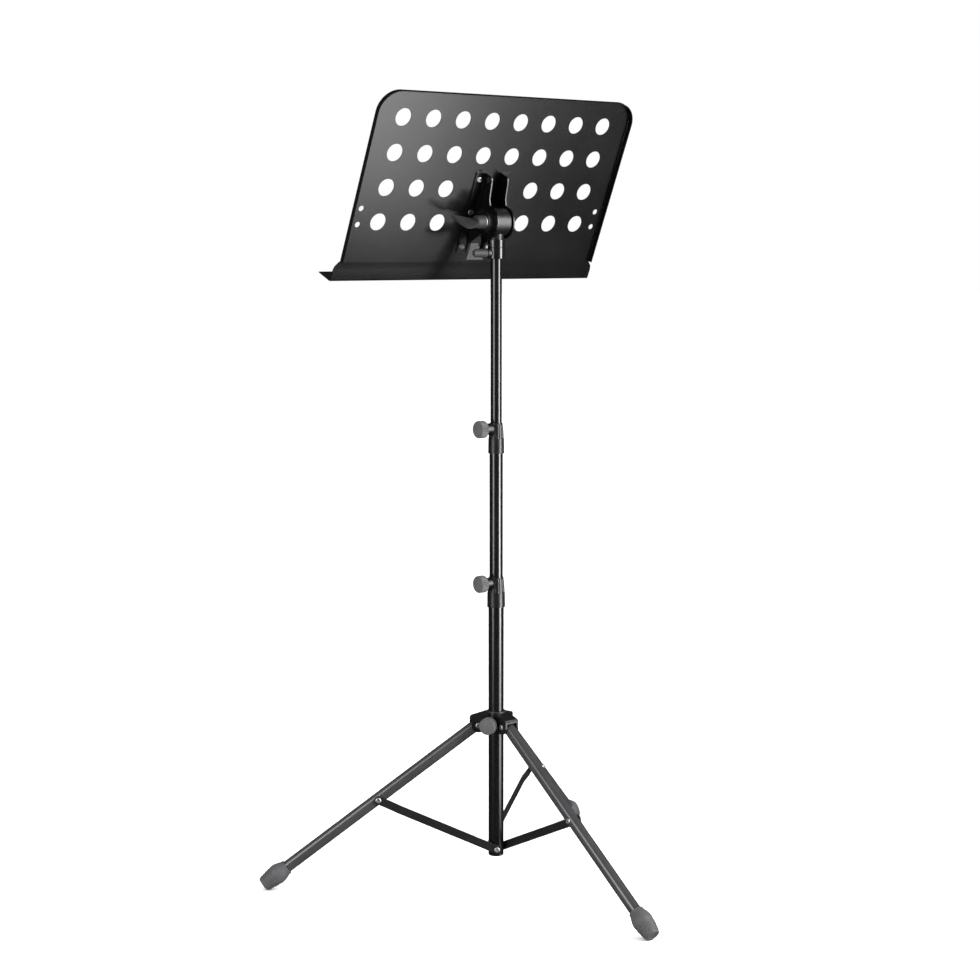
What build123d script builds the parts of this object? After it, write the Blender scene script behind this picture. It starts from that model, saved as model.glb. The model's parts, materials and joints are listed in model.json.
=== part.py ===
from build123d import *
import os
from math import atan2, cos, degrees, hypot, radians, sin

# Folding music stand, in millimetres. +Z is up and the floor is Z = 0. The column's axis is
# the Z axis, the reader stands at -Y, and the desk leans back towards +Y.

# ---- column ----
LOWER_R, MID_R, TOP_R = 11.0, 9.5, 8.0  # outside radii of the three tubes
TUBE_WALL = 1.0
RUN = 0.05  # radial clearance of a running fit
GAP = 0.3  # clearance between parts that pass each other
LOWER_BOTTOM = 40.0
LOWER_COLLAR_Z, UPPER_COLLAR_Z = 402.0, 622.0  # undersides of the two clamp collars
COLLAR_HEIGHT = 43.0
GUIDE_COLLAR, GUIDE_SPIGOT = 6.0, 4.0  # nylon plugs at the lower ends of the sliding tubes
COLLAR_SEAT = 22.0  # how far a tube reaches up into its collar
MID_BOTTOM, TOP_BOTTOM = 242.0, 474.0
SCREW_DROP = 8.0  # clamp screw axis below the collar's top
LOWER_TOP = LOWER_COLLAR_Z + COLLAR_SEAT
MID_TOP = UPPER_COLLAR_Z + COLLAR_SEAT

# ---- clamp screws and knobs ----
KNOB_AZIMUTH = 0
COLLAR_BOSS_OUT, HUB_BOSS_OUT = 19.5, 23.0  # boss faces, out from the column's axis
BOSS_R = 8.0
COLLAR_LIP = 7.0
STUD_R, STUD_GRIP = 3.0, 9.0
KNOB_R, KNOB_LENGTH = 12.3, 12.6
KNOB_STANDOFF, KNOB_EDGE = 1.5, 1.4
KNOB_FLUTES, FLUTE_R = 28, 0.8
INSERT_R, INSERT_LENGTH = 4.5, 6.0
PAD_R, PAD_THICK = 3.9, 1.8

# ---- folding base ----
LEG_AZIMUTHS = {"rear": 90, "left": 210, "right": 330}
LEG_ANGLE = 36.0  # below the horizontal
LEG_R, LEG_WALL = 8.5, 1.2
LEG_REACH = 381.3  # pivot to the end of the foot, along the leg
PIVOT_RADIUS = 27.0  # leg pivots, out from the column's axis
BRACE_ALONG = 178.0  # leg pivot to brace rivet, along the leg
FOOT_LENGTH, FOOT_TIP_R, FOOT_EDGE = 42.0, 10.5, 1.5
PIVOT_Z = (
    (LEG_REACH - FOOT_EDGE) * sin(radians(LEG_ANGLE))
    + (FOOT_TIP_R - FOOT_EDGE) * cos(radians(LEG_ANGLE))
    + FOOT_EDGE
)
RIVET_RADIUS = PIVOT_RADIUS + BRACE_ALONG * cos(radians(LEG_ANGLE))
RIVET_Z = PIVOT_Z - BRACE_ALONG * sin(radians(LEG_ANGLE))
BRACE_Z = 48.5  # height of the braces' lower pivots
BRACE_LENGTH = hypot(RIVET_RADIUS, RIVET_Z - BRACE_Z)
BRACE_ANGLE = degrees(atan2(RIVET_Z - BRACE_Z, RIVET_RADIUS))
LEG_START, LEG_END = 6.0, LEG_REACH - 14.0
EYE_SPIGOT = 18.0
FOOT_COLLAR_R, FOOT_BULGE_R, FOOT_BULGE_AT = 10.7, 14.5, 18.0
FOOT_RINGS = (25.0, 29.0, 33.0, 37.0)  # along the foot from its collar
FOOT_RING_HALF, FOOT_RING_RISE = 0.9, 0.6
FOOT_COLLAR_LENGTH = 3.0
END_CAP_RIM, END_CAP_DEPTH = 2.0, 18.0
BRACE_HEIGHT, BRACE_THICK = 12.0, 2.0
PIVOT_DEPTH = 7.0
BRACE_INNER = LOWER_R + 0.6  # brace's inner face beside the column
BRACE_OUTER_END = LEG_R + GAP  # brace's inner face beside the leg
BRACE_SET = (32.0, 16.0)  # the bar is set inwards between these distances from the leg rivet
RIVET_R, RIVET_HEAD_R, RIVET_HEAD_H = 2.5, 4.2, 1.6
RIVET_PLAY = 0.1  # end play of a brace on its pivot

# ---- hub ----
HUB_R, HUB_TOP, HUB_BOTTOM = 14.0, PIVOT_Z + 17.0, PIVOT_Z - 10.0
HUB_BORE_R = 12.4
ARM_CHEEK = 2.8
ARM_HALF = LEG_R + GAP + ARM_CHEEK
EYE_R = 10.0  # rounded end of each cheek, about the pin
ARM_REACH, ARM_FRONT_H = PIVOT_RADIUS + EYE_R, 8.0
ARM_ROOF = (5.0, -2.0)  # underside of an arm's top at its root and front, from ARM_FRONT_H
HUB_RING = 2.0
PIN_R, PIN_HEAD_R = 3.0, 4.5
HUB_SCREW_AZIMUTH = 30
HUB_SCREW_Z = PIVOT_Z + 2.5

# ---- tilting head ----
TILT_Z = 946.0
DRUM_R, DRUM_HALF = 19.8, 12.5
WASHER_THICK = 0.5
CHEEK_IN, CHEEK_THICK = DRUM_HALF + 0.6, 2.0
CHEEK_OUT = CHEEK_IN + CHEEK_THICK
EAR_R = 23.0
SLEEVE_R, SLEEVE_LOW, SLEEVE_HIGH = 12.5, 895.0, 921.5
SPIGOT_R = 10.0
SLEEVE_GROOVE_Z, SLEEVE_GROOVE_HEIGHT, SLEEVE_GROOVE_DEPTH = 910.0, 1.2, 0.5
NECK_R = 10.8
TOP_TOP = 920.0
WING_SCREW_Z = 903.0
BOLT_R, BOLT_HEAD_R, BOLT_HEAD_H = 3.0, 7.0, 3.8
TILT_BOLT_END = 36.0
DOME_R, DOME_OUT = 14.5, 22.0
BARREL_R, BARREL_OUT = 9.0, 38.0
KNOB_RING = 1.2
WING_OUT, WING_R, WING_THICK, WING_TURN = 64.0, 22.0, 5.0, -25.0
SOCKET_PAD_OUT = TOP_R + RUN + PAD_THICK
SOCKET_NUT_R, SOCKET_NUT_OUT = 6.5, 17.0
GRIP_BARREL_R, GRIP_MIDDLE = 6.0, 41.0
GRIP_TOP, GRIP_FOOT, GRIP_UP, GRIP_DOWN, GRIP_THICK = 12.5, 29.0, 13.4, 8.8, 5.5
GRIP_RIBS, GRIP_RIB_PITCH, GRIP_RIB_DEPTH = 5, 4.0, 0.6

# ---- desk ----
DESK_TILT = 23.8  # back from the vertical
DESK_STANDOFF = 33.3  # tilt axis to the back of the desk sheet
SHEET = 1.2
DESK_HALF, DESK_LOW_HALF = 222.0, 230.0
DESK_UP, DESK_DOWN = 172.2, 103.8  # tilt axis to the top edge and to the ledge
CORNER_R = 32.0
RIM_DEPTH = 9.0
RIM_END = DESK_DOWN - 30.0  # the rim stops this far below the tilt axis
LEDGE_DEPTH = 30.0
PITCH, HOLE_R = 50.0, 12.5
TOP_ROW = 134.2  # top row of holes above the tilt axis
SMALL_HOLE_R, SMALL_HOLE_X = 4.1, 207.5
SMALL_HOLE_UP = (3.4, -20.0)
STRIP_OUT, STRIP_UP, STRIP_DOWN = 30.0, 60.5, 61.0
STRIP_RIVET_X = 23.0
DESK_RIVET_HEAD_R, DESK_RIVET_HEAD_H = 4.0, 1.3
APRON_FLARE = ((8.0, 1.5), (13.0, 0.0))  # below the rim's end, and short of the full half width
STRIP_RIVETS_UP = (50.0, 1.5, -51.0)

os.makedirs("parts", exist_ok=True)


def save(builder, name):
    builder.part.label = name
    export_step(builder.part, f"parts/{name}.step")


def ray(azimuth):
    return Vector(cos(radians(azimuth)), sin(radians(azimuth)), 0)


def level_plane(azimuth, height):
    """Square to a level screw axis that leaves the column at this azimuth; Z runs outwards."""
    return Plane(origin=(0, 0, height), x_dir=(0, 0, 1), z_dir=ray(azimuth))


def side_plane(azimuth, radius, height, angle):
    """Upright plane through a leg or brace: X runs outwards along it, Y upwards."""
    along = ray(azimuth) * cos(radians(angle)) + Vector(0, 0, sin(radians(angle)))
    start = ray(azimuth) * radius + Vector(0, 0, height)
    return Plane(origin=start, x_dir=along, z_dir=ray(azimuth - 90))


def rod(plane, radius, start, end, mode=Mode.ADD):
    """A round bar along the plane's normal, inside the open BuildPart."""
    with BuildSketch(plane.offset(start)) as disc:
        Circle(radius)
    extrude(disc.sketch, amount=end - start, mode=mode)


def ring(plane, outer, inner, start, end):
    with BuildPart() as body:
        rod(plane, outer, start, end)
        rod(plane, inner, start, end, Mode.SUBTRACT)
    return body


# ======================= column =======================
def column_tube(radius, bottom, top):
    return ring(Plane.XY, radius, radius - TUBE_WALL, bottom, top)


def guide_plug(tube_r, outer_tube_r, bottom):
    """Nylon plug in a tube's lower end, with a collar that runs inside the next tube."""
    bore_r = outer_tube_r - TUBE_WALL
    with BuildPart() as plug:
        rod(Plane.XY, bore_r - 2 * RUN, bottom - GUIDE_COLLAR, bottom)
        rod(Plane.XY, tube_r - TUBE_WALL, bottom, bottom + GUIDE_SPIGOT)
    return plug


def collar(outer_r, inner_r, low):
    """Bullet-shaped clamp collar on the end of the outer tube, with a boss for the knob."""
    top = low + COLLAR_HEIGHT
    step = low + COLLAR_SEAT - 1
    screw = level_plane(KNOB_AZIMUTH, top - SCREW_DROP)
    with BuildPart() as body:
        with BuildSketch(Plane.XZ):
            with BuildLine():
                foot = Polyline((0, low), (outer_r + 1.8, low), (outer_r + 1.5, step), (outer_r + 1.2, step))
                nose = ThreePointArc(foot @ 1, (outer_r + 0.9, top - 10), (inner_r + 0.9, top))
                Polyline(nose @ 1, (0, top), (0, low))
            make_face()
        revolve(axis=Axis.Z)
        rod(screw, BOSS_R, inner_r + 1, COLLAR_BOSS_OUT)
        rod(Plane.XY, outer_r, low, top - COLLAR_LIP, Mode.SUBTRACT)
        rod(Plane.XY, inner_r + GAP, top - COLLAR_LIP, top, Mode.SUBTRACT)
        rod(screw, PAD_R + GAP, 0, COLLAR_BOSS_OUT - INSERT_LENGTH, Mode.SUBTRACT)
        rod(screw, INSERT_R, COLLAR_BOSS_OUT - INSERT_LENGTH, COLLAR_BOSS_OUT, Mode.SUBTRACT)
    return body


def collar_bush(outer_r, inner_r, low):
    """Nylon bush between the collar and the sliding tube, notched for the pressure pad."""
    top = low + COLLAR_HEIGHT
    with BuildPart() as bush:
        rod(Plane.XY, outer_r, low + COLLAR_SEAT, top - COLLAR_LIP)
        rod(Plane.XY, inner_r + RUN, low + COLLAR_SEAT, top - COLLAR_LIP, Mode.SUBTRACT)
        rod(level_plane(KNOB_AZIMUTH, top - SCREW_DROP), PAD_R + GAP, 0, outer_r + 1, Mode.SUBTRACT)
    return bush


lower_tube = column_tube(LOWER_R, LOWER_BOTTOM, LOWER_TOP)
with BuildPart() as end_cap:
    rod(Plane.XY, LOWER_R, LOWER_BOTTOM - END_CAP_RIM, LOWER_BOTTOM)
    rod(Plane.XY, LOWER_R - TUBE_WALL, LOWER_BOTTOM, LOWER_BOTTOM + END_CAP_DEPTH)
with BuildPart() as brace_pivots:
    for azimuth in LEG_AZIMUTHS.values():
        pivot = level_plane(azimuth + 90, BRACE_Z)
        under_head = BRACE_INNER + BRACE_THICK + RIVET_PLAY
        rod(pivot, RIVET_R, PIVOT_DEPTH, under_head)
        rod(pivot, RIVET_HEAD_R, LOWER_R, BRACE_INNER - RIVET_PLAY)
        rod(pivot, RIVET_HEAD_R, under_head, under_head + RIVET_HEAD_H)
for piece in (lower_tube, end_cap):
    for azimuth in LEG_AZIMUTHS.values():
        with piece:
            rod(level_plane(azimuth + 90, BRACE_Z), RIVET_R, PIVOT_DEPTH, LOWER_R + 1, Mode.SUBTRACT)
save(lower_tube, "lower_tube")
save(end_cap, "end_cap")
save(brace_pivots, "brace_pivots")

save(column_tube(MID_R, MID_BOTTOM, MID_TOP), "middle_tube")
save(guide_plug(MID_R, LOWER_R, MID_BOTTOM), "middle_tube_plug")
save(column_tube(TOP_R, TOP_BOTTOM, TOP_TOP), "top_tube")
save(guide_plug(TOP_R, MID_R, TOP_BOTTOM), "top_tube_plug")
save(collar(LOWER_R, MID_R, LOWER_COLLAR_Z), "lower_collar")
save(collar_bush(LOWER_R, MID_R, LOWER_COLLAR_Z), "lower_collar_bush")
save(collar(MID_R, TOP_R, UPPER_COLLAR_Z), "upper_collar")
save(collar_bush(MID_R, TOP_R, UPPER_COLLAR_Z), "upper_collar_bush")


# ======================= clamp screws =======================
def knob(axis, back):
    """Round knob with a fluted edge, a blind bore for its stud and softly rounded rims."""
    with BuildPart() as body:
        rod(axis, KNOB_R, back, back + KNOB_LENGTH)
        fillet(body.edges().filter_by(GeomType.CIRCLE), KNOB_EDGE)
        with BuildSketch(axis.offset(back)):
            with PolarLocations(KNOB_R + 0.5 * FLUTE_R, KNOB_FLUTES):
                Circle(FLUTE_R)
        extrude(amount=KNOB_LENGTH, mode=Mode.SUBTRACT)
        rod(axis, STUD_R, back, back + STUD_GRIP, Mode.SUBTRACT)
    return body


def save_clamp(name, axis, tube_r, boss_out):
    """Insert, pressure pad, stud and knob of one clamp, in line along the screw's axis."""
    pad_out = tube_r + RUN + PAD_THICK
    back = boss_out + KNOB_STANDOFF
    with BuildPart() as pad:
        rod(axis, PAD_R, tube_r + RUN, pad_out)
    with BuildPart() as stud:
        rod(axis, STUD_R, pad_out, back + STUD_GRIP)
    save(ring(axis, INSERT_R, STUD_R + RUN, boss_out - INSERT_LENGTH, boss_out), f"{name}_insert")
    save(pad, f"{name}_pad")
    save(stud, f"{name}_stud")
    save(knob(axis, back), f"{name}_knob")


lower_screw = level_plane(KNOB_AZIMUTH, LOWER_COLLAR_Z + COLLAR_HEIGHT - SCREW_DROP)
upper_screw = level_plane(KNOB_AZIMUTH, UPPER_COLLAR_Z + COLLAR_HEIGHT - SCREW_DROP)
hub_screw = level_plane(HUB_SCREW_AZIMUTH, HUB_SCREW_Z)
save_clamp("lower_clamp", lower_screw, MID_R, COLLAR_BOSS_OUT)
save_clamp("upper_clamp", upper_screw, TOP_R, COLLAR_BOSS_OUT)
save_clamp("hub_clamp", hub_screw, LOWER_R, HUB_BOSS_OUT)

# ======================= hub =======================
with BuildPart() as hub:
    rod(Plane.XY, HUB_R, HUB_BOTTOM, HUB_TOP)
    for azimuth in LEG_AZIMUTHS.values():
        beside = side_plane(azimuth, 0, PIVOT_Z, 0)
        with BuildSketch(beside):
            with BuildLine():
                edge = Line((HUB_R - 2, -EYE_R), (PIVOT_RADIUS, -EYE_R))
                nose = CenterArc((PIVOT_RADIUS, 0), EYE_R, -90, 90)
                Polyline(
                    nose @ 1,
                    (ARM_REACH, ARM_FRONT_H),
                    (ARM_REACH - 2, ARM_FRONT_H + 3),
                    (HUB_R, HUB_TOP - PIVOT_Z),
                    (HUB_R - 2, HUB_TOP - PIVOT_Z),
                    edge @ 0,
                )
            make_face()
        extrude(amount=ARM_HALF, both=True)
    for azimuth in LEG_AZIMUTHS.values():
        beside = side_plane(azimuth, 0, PIVOT_Z, 0)
        with BuildSketch(beside):
            Polygon(
                (HUB_R + 1, -EYE_R - 1),
                (ARM_REACH + 1, -EYE_R - 1),
                (ARM_REACH + 1, ARM_FRONT_H + ARM_ROOF[1]),
                (HUB_R + 1, ARM_FRONT_H + ARM_ROOF[0]),
                align=None,
            )
        extrude(amount=LEG_R + GAP, both=True, mode=Mode.SUBTRACT)
        rod(side_plane(azimuth, PIVOT_RADIUS, PIVOT_Z, 0), PIN_R, -ARM_HALF, ARM_HALF, Mode.SUBTRACT)
    rod(hub_screw, BOSS_R + 1, HUB_BORE_R, HUB_BOSS_OUT)
    rod(Plane.XY, HUB_BORE_R, HUB_BOTTOM, HUB_TOP, Mode.SUBTRACT)
    rod(hub_screw, PAD_R + GAP, 0, HUB_BOSS_OUT - INSERT_LENGTH, Mode.SUBTRACT)
    rod(hub_screw, INSERT_R, HUB_BOSS_OUT - INSERT_LENGTH, HUB_BOSS_OUT, Mode.SUBTRACT)
save(hub, "hub")

with BuildPart() as hub_bush:
    rod(Plane.XY, HUB_BORE_R, HUB_BOTTOM, HUB_TOP)
    rod(Plane.XY, HUB_R, HUB_TOP, HUB_TOP + HUB_RING)
    fillet(hub_bush.edges().group_by(Axis.Z)[-1], 0.8)
    rod(Plane.XY, LOWER_R + RUN, HUB_BOTTOM, HUB_TOP + HUB_RING, Mode.SUBTRACT)
    rod(hub_screw, PAD_R + GAP, 0, HUB_R, Mode.SUBTRACT)
save(hub_bush, "hub_bush")

with BuildPart() as hub_pins:
    for azimuth in LEG_AZIMUTHS.values():
        pin = side_plane(azimuth, PIVOT_RADIUS, PIVOT_Z, 0)
        rod(pin, PIN_R, -ARM_HALF, ARM_HALF)
        for start in (-ARM_HALF - RIVET_HEAD_H, ARM_HALF):
            rod(pin, PIN_HEAD_R, start, start + RIVET_HEAD_H)
save(hub_pins, "hub_pins")


# ======================= legs, feet and braces =======================
def across_leg(azimuth, angle, along):
    """Plane square to a leg at this distance down it; its Z runs down the leg."""
    beside = side_plane(azimuth, PIVOT_RADIUS, PIVOT_Z, angle)
    return Plane(origin=beside.origin + beside.x_dir * along, x_dir=beside.z_dir, z_dir=beside.x_dir)


def leg_tube(azimuth):
    cross = across_leg(azimuth, -LEG_ANGLE, 0)
    beside = side_plane(azimuth, PIVOT_RADIUS, PIVOT_Z, -LEG_ANGLE)
    with BuildPart() as body:
        rod(cross, LEG_R, LEG_START, LEG_END)
        rod(cross, LEG_R - LEG_WALL, LEG_START, LEG_END, Mode.SUBTRACT)
        hole = Plane(origin=beside.origin + beside.x_dir * BRACE_ALONG, x_dir=beside.x_dir, z_dir=beside.z_dir)
        rod(hole, RIVET_R, -LEG_R - 1, LEG_R + 1, Mode.SUBTRACT)
    return body


def leg_eye(azimuth):
    """Plug in the leg's upper end, rounded about the pin that it turns on."""
    cross = across_leg(azimuth, -LEG_ANGLE, 0)
    beside = side_plane(azimuth, PIVOT_RADIUS, PIVOT_Z, -LEG_ANGLE)
    with BuildPart() as body:
        rod(cross, LEG_R, 0, LEG_START)
        rod(beside, LEG_R, -LEG_R, LEG_R)
        rod(cross, LEG_R, -LEG_R, LEG_START, Mode.INTERSECT)
        rod(cross, LEG_R - LEG_WALL, LEG_START, LEG_START + EYE_SPIGOT)
        rod(beside, PIN_R + RUN, -LEG_R, LEG_R, Mode.SUBTRACT)
    return body


def foot(azimuth):
    """Barrel-shaped rubber foot with raised rings near its tip."""
    beside = side_plane(azimuth, PIVOT_RADIUS, PIVOT_Z, -LEG_ANGLE)
    start = LEG_REACH - FOOT_LENGTH
    with BuildPart() as body:
        with BuildSketch(beside):
            Polygon(
                (start, 0),
                (start, FOOT_COLLAR_R),
                (start + FOOT_COLLAR_LENGTH, FOOT_COLLAR_R),
                (start + FOOT_BULGE_AT, FOOT_BULGE_R),
                (LEG_REACH, FOOT_TIP_R),
                (LEG_REACH, 0),
                align=None,
            )
        revolve(axis=Axis(beside.origin, beside.x_dir))
        fillet(body.edges().filter_by(GeomType.CIRCLE).sort_by(Axis.Z)[0], FOOT_EDGE)
        for ring_at in FOOT_RINGS:
            share = (ring_at - FOOT_BULGE_AT) / (FOOT_LENGTH - FOOT_BULGE_AT)
            ring_r = FOOT_BULGE_R + share * (FOOT_TIP_R - FOOT_BULGE_R) + FOOT_RING_RISE
            rod(across_leg(azimuth, -LEG_ANGLE, start + ring_at), ring_r, -FOOT_RING_HALF, FOOT_RING_HALF)
        rod(across_leg(azimuth, -LEG_ANGLE, 0), LEG_R, start, LEG_END, Mode.SUBTRACT)
    return body


def brace(azimuth):
    """Flat bar from the foot of the column to the leg, with a small set near the leg."""
    beside = side_plane(azimuth, 0, BRACE_Z, BRACE_ANGLE)
    left = ray(azimuth + 90)
    from_above = Plane(origin=beside.origin, x_dir=beside.x_dir, z_dir=beside.x_dir.cross(left))
    near, far = BRACE_INNER, BRACE_OUTER_END
    set_start, set_end = (BRACE_LENGTH - distance for distance in BRACE_SET)
    with BuildPart() as body:
        with BuildSketch(from_above):
            Polygon(
                (-BRACE_HEIGHT, near),
                (set_start, near),
                (set_end, far),
                (BRACE_LENGTH + BRACE_HEIGHT, far),
                (BRACE_LENGTH + BRACE_HEIGHT, far + BRACE_THICK),
                (set_end, far + BRACE_THICK),
                (set_start, near + BRACE_THICK),
                (-BRACE_HEIGHT, near + BRACE_THICK),
                align=None,
            )
        extrude(amount=BRACE_HEIGHT, both=True)
        with BuildSketch(beside):
            with Locations((BRACE_LENGTH / 2, 0)):
                SlotCenterToCenter(BRACE_LENGTH, BRACE_HEIGHT)
        extrude(amount=2 * LOWER_R, both=True, mode=Mode.INTERSECT)
        for along, radius in ((0, RIVET_R + RUN), (BRACE_LENGTH, RIVET_R)):
            hole = Plane(origin=beside.origin + beside.x_dir * along, x_dir=beside.x_dir, z_dir=beside.z_dir)
            rod(hole, radius, -2 * LOWER_R, 2 * LOWER_R, Mode.SUBTRACT)
    return body


def brace_rivets(azimuth):
    """The two ends of the leg rivet: the head that holds the brace, and the tail in the leg."""
    rivet = Plane(origin=ray(azimuth) * RIVET_RADIUS + Vector(0, 0, RIVET_Z), z_dir=ray(azimuth + 90))
    brace_face = BRACE_OUTER_END + BRACE_THICK
    with BuildPart() as head:
        rod(rivet, RIVET_R, BRACE_OUTER_END, brace_face)
        rod(rivet, RIVET_HEAD_R, brace_face, brace_face + RIVET_HEAD_H)
    with BuildPart() as tail:
        rod(rivet, RIVET_HEAD_R, -LEG_R - RIVET_HEAD_H, -LEG_R)
        rod(rivet, RIVET_R, -LEG_R, LEG_R - 0.2)
    return head, tail


for side, azimuth in LEG_AZIMUTHS.items():
    rivet_head, rivet_tail = brace_rivets(azimuth)
    save(leg_tube(azimuth), f"{side}_leg_tube")
    save(leg_eye(azimuth), f"{side}_leg_eye")
    save(foot(azimuth), f"{side}_foot")
    save(brace(azimuth), f"{side}_brace")
    save(rivet_head, f"{side}_brace_rivet")
    save(rivet_tail, f"{side}_leg_rivet")

# ======================= tilting head =======================
tilt_axis = Plane(origin=(0, 0, TILT_Z), x_dir=(0, 1, 0), z_dir=(1, 0, 0))
wing_axis = level_plane(KNOB_AZIMUTH, WING_SCREW_Z)

with BuildPart() as tilt_drum:
    rod(tilt_axis, DRUM_R, -DRUM_HALF, DRUM_HALF)
    rod(Plane.XY, NECK_R, SLEEVE_HIGH, TILT_Z - DRUM_R / 2)
    rod(tilt_axis, BOLT_R + RUN, -DRUM_HALF, DRUM_HALF, Mode.SUBTRACT)
    rod(Plane.XY, SPIGOT_R, SLEEVE_LOW + 0.5, SLEEVE_HIGH)
    rod(Plane.XY, TOP_R + RUN, SLEEVE_LOW + 0.5, TOP_TOP + 0.5, Mode.SUBTRACT)
    rod(wing_axis, PAD_R + GAP, 0, SPIGOT_R + 1, Mode.SUBTRACT)
save(tilt_drum, "tilt_drum")

with BuildPart() as socket_sleeve:
    rod(Plane.XY, SLEEVE_R, SLEEVE_LOW, SLEEVE_HIGH)
    chamfer(socket_sleeve.edges().filter_by(GeomType.CIRCLE), 0.5)
    with BuildSketch(Plane.XY.offset(SLEEVE_GROOVE_Z)):
        Circle(SLEEVE_R + 1)
        Circle(SLEEVE_R - SLEEVE_GROOVE_DEPTH, mode=Mode.SUBTRACT)
    extrude(amount=SLEEVE_GROOVE_HEIGHT, mode=Mode.SUBTRACT)
    rod(Plane.XY, SPIGOT_R, SLEEVE_LOW, SLEEVE_HIGH, Mode.SUBTRACT)
    rod(wing_axis, INSERT_R, 0, SLEEVE_R + 1, Mode.SUBTRACT)
save(socket_sleeve, "socket_sleeve")

with BuildPart() as friction_washers:
    for start in (-DRUM_HALF - WASHER_THICK, DRUM_HALF):
        rod(tilt_axis, DRUM_R - 2, start, start + WASHER_THICK)
        rod(tilt_axis, BOLT_R + RUN, start, start + WASHER_THICK, Mode.SUBTRACT)
save(friction_washers, "friction_washers")

with BuildPart() as tilt_bolt:
    rod(tilt_axis, BOLT_R, -CHEEK_OUT, TILT_BOLT_END)
    rod(tilt_axis, BOLT_HEAD_R, -CHEEK_OUT - BOLT_HEAD_H, -CHEEK_OUT)
    fillet(tilt_bolt.edges().group_by(Axis.X)[0], 2.5)
save(tilt_bolt, "tilt_bolt")

with BuildPart() as dome_washer:
    with BuildSketch(Plane(origin=(0, 0, TILT_Z), x_dir=(1, 0, 0), z_dir=(0, -1, 0))):
        with BuildLine():
            base = Polyline((CHEEK_OUT + RUN, BOLT_R + RUN), (CHEEK_OUT + RUN, DOME_R), (CHEEK_OUT + 1.5, DOME_R))
            dome = ThreePointArc(base @ 1, (CHEEK_OUT + 5.5, DOME_R - 2.4), (DOME_OUT, BARREL_R - 1))
            Polyline(dome @ 1, (DOME_OUT, BOLT_R + RUN), base @ 0)
        make_face()
    revolve(axis=Axis((0, 0, TILT_Z), (1, 0, 0)))
save(dome_washer, "dome_washer")

# Tilt wing knob: a barrel and a fan-shaped paddle, turned from the level, with a ring at its inner end.
turned = Vector(0, cos(radians(WING_TURN)), sin(radians(WING_TURN)))
wing_face = Plane(origin=(0, 0, TILT_Z), x_dir=(1, 0, 0), z_dir=Vector(1, 0, 0).cross(turned))
with BuildPart() as tilt_wing_knob:
    rod(tilt_axis, BARREL_R, DOME_OUT + RUN + KNOB_RING, BARREL_OUT)
    fillet(tilt_wing_knob.edges().group_by(Axis.X)[-1], 3)
    with BuildSketch(wing_face):
        with BuildLine():
            lead = Line((BARREL_OUT - 12, 0), (BARREL_OUT - 11, BARREL_R - 0.5))
            flare = ThreePointArc(lead @ 1, (BARREL_OUT + 5, BARREL_R + 4), (WING_OUT - 5, WING_R - 0.5))
            tip = ThreePointArc(flare @ 1, (WING_OUT - 2, WING_R), (WING_OUT, WING_R - 3))
            edge = ThreePointArc(tip @ 1, (WING_OUT + 1.5, WING_R / 2), (WING_OUT + 2, 0))
            Line(edge @ 1, lead @ 0)
        make_face()
        mirror(about=Plane.XZ)
    extrude(amount=WING_THICK / 2, both=True)
    rod(tilt_axis, BOLT_R + RUN, 0, TILT_BOLT_END + 2, Mode.SUBTRACT)
save(tilt_wing_knob, "tilt_wing_knob")
knob_ring = ring(tilt_axis, BARREL_R + 0.4, BOLT_R + RUN, DOME_OUT + RUN, DOME_OUT + RUN + KNOB_RING)
save(knob_ring, "tilt_knob_ring")

# Socket screw: a fan-shaped thumb grip with ribs across both faces.
with BuildPart() as socket_insert:
    rod(wing_axis, INSERT_R, SOCKET_PAD_OUT + 1.7, SLEEVE_R)
    rod(wing_axis, SOCKET_NUT_R, SLEEVE_R, SOCKET_NUT_OUT)
    rod(wing_axis, STUD_R + RUN, 0, SOCKET_NUT_OUT, Mode.SUBTRACT)
with BuildPart() as socket_pad:
    rod(wing_axis, PAD_R, TOP_R + RUN, SOCKET_PAD_OUT)
with BuildPart() as socket_stud:
    rod(wing_axis, STUD_R, SOCKET_PAD_OUT, GRIP_MIDDLE)
with BuildPart() as socket_grip:
    rod(wing_axis, GRIP_BARREL_R, SOCKET_NUT_OUT + KNOB_STANDOFF, GRIP_MIDDLE)
    with BuildSketch(Plane(origin=(GRIP_MIDDLE, 0, WING_SCREW_Z), x_dir=(1, 0, 0), z_dir=(0, -1, 0))):
        Polygon(
            (-GRIP_TOP / 2, GRIP_UP),
            (GRIP_TOP / 2, GRIP_UP),
            (GRIP_FOOT / 2, -GRIP_DOWN),
            (-GRIP_FOOT / 2, -GRIP_DOWN),
            align=None,
        )
    extrude(amount=GRIP_THICK / 2, both=True)
    fillet(socket_grip.edges().filter_by(Axis.Y), 2)
    for face in (-1, 1):
        with BuildSketch(Plane.XZ.offset(face * GRIP_THICK)):
            with Locations((GRIP_MIDDLE, WING_SCREW_Z + (GRIP_UP - GRIP_DOWN) / 2)):
                with GridLocations(0, GRIP_RIB_PITCH, 1, GRIP_RIBS):
                    Rectangle(2 * GRIP_FOOT, GRIP_RIB_PITCH / 2)
        extrude(amount=-face * (GRIP_THICK / 2 + GRIP_RIB_DEPTH), mode=Mode.SUBTRACT)
    rod(wing_axis, STUD_R, 0, GRIP_MIDDLE, Mode.SUBTRACT)
save(socket_insert, "socket_insert")
save(socket_pad, "socket_pad")
save(socket_stud, "socket_stud")
save(socket_grip, "socket_grip")

# ======================= desk =======================
up_desk = Vector(0, sin(radians(DESK_TILT)), cos(radians(DESK_TILT)))
to_reader = Vector(0, -cos(radians(DESK_TILT)), sin(radians(DESK_TILT)))
desk_plane = Plane(origin=(0, 0, TILT_Z), x_dir=(1, 0, 0), z_dir=to_reader)
back_face = desk_plane.offset(DESK_STANDOFF)
front_face = desk_plane.offset(DESK_STANDOFF + SHEET)


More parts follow.
